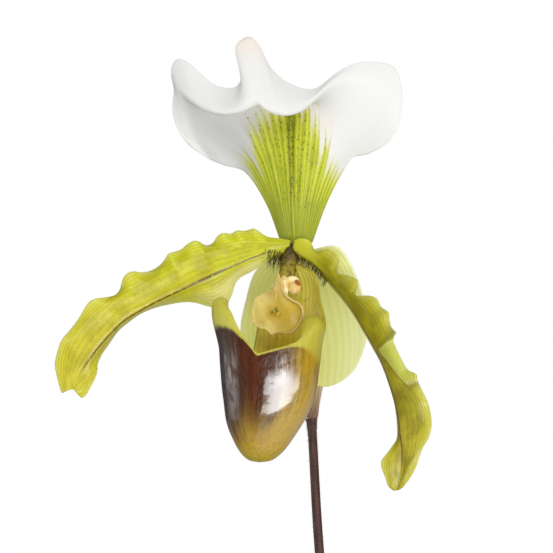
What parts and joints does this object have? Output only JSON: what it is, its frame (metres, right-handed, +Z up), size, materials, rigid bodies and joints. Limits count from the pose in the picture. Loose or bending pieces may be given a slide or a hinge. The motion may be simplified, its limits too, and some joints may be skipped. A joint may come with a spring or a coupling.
{
  "type": "potted slipper orchid",
  "caption": "Potted slipper orchid in bloom: a clay pot of bark with fans of strap leaves and a thin upright stem that carries a pouched flower under a white hood.",
  "frame": {"origin": "centre of the underside of the pot", "axes": "+Z up along the pot's axis, -Y the side that the flower faces, +X to that viewer's right"},
  "size_m": [0.3026, 0.114, 0.3772],
  "materials": {
    "clay": "unglazed, matt, with faint water marks",
    "bark": "rough dry bark",
    "crown": "fibrous woody plant base",
    "leaf": "smooth leathery leaf with a soft sheen",
    "stem": "dark purple brown, finely downy",
    "ovary": "ribbed, green with purple flecks, finely downy",
    "dorsal_sepal": "thin white petal tissue with a green veined foot",
    "lower_sepal": "thin pale green petal tissue with green veins",
    "petal": "waxy yellow green with a brown midvein",
    "pouch": "glossy red brown that turns olive gold at the toe",
    "column": "olive, hairy at its root",
    "anther": "cream, soft",
    "staminodium": "waxy cream yellow with a green knob"
  },
  "bodies": {
    "root": {"pot": "clay", "bark": "bark", "main_crown": "crown", "young_crown": "crown", "main_leaf_1": "leaf", "main_leaf_2": "leaf", "main_leaf_3": "leaf", "main_leaf_4": "leaf", "main_leaf_5": "leaf", "main_leaf_6": "leaf", "young_leaf_1": "leaf", "young_leaf_2": "leaf", "young_leaf_3": "leaf", "young_leaf_4": "leaf", "stem": "stem", "bract": "ovary", "ovary": "ovary", "dorsal_sepal": "dorsal_sepal", "lower_sepal": "lower_sepal", "left_petal": "petal", "right_petal": "petal", "pouch": "pouch", "column": "column", "left_anther": "anther", "right_anther": "anther", "staminodium": "staminodium"}
  },
  "joints": []
}
